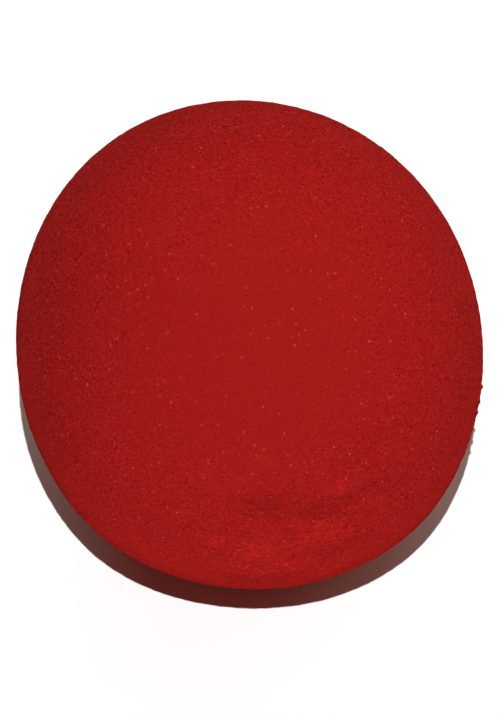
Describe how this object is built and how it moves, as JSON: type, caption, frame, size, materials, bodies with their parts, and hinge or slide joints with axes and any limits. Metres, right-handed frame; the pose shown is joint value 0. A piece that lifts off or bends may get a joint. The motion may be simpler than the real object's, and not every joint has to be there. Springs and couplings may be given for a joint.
{
  "type": "foam clown nose",
  "caption": "Round sponge-foam clown nose: a soft red ball with a flat trimmed back and a pointed pocket in it that grips the wearer's nose.",
  "frame": {"origin": "middle of the flat trimmed back, on the surface that the nose rests on", "axes": "+Z out through the front of the nose, +Y along the pocket and the ball's longest way across (up the face when worn), +X across the pocket"},
  "size_m": [0.0485, 0.0521, 0.0468],
  "materials": {
    "red_foam": "fine open-cell sponge foam, dyed deep red right through, dead matt, with a faint soft sheen towards the rim and rare tiny glints from cut cells"
  },
  "bodies": {
    "root": {"foam_ball": "red_foam"}
  },
  "joints": []
}
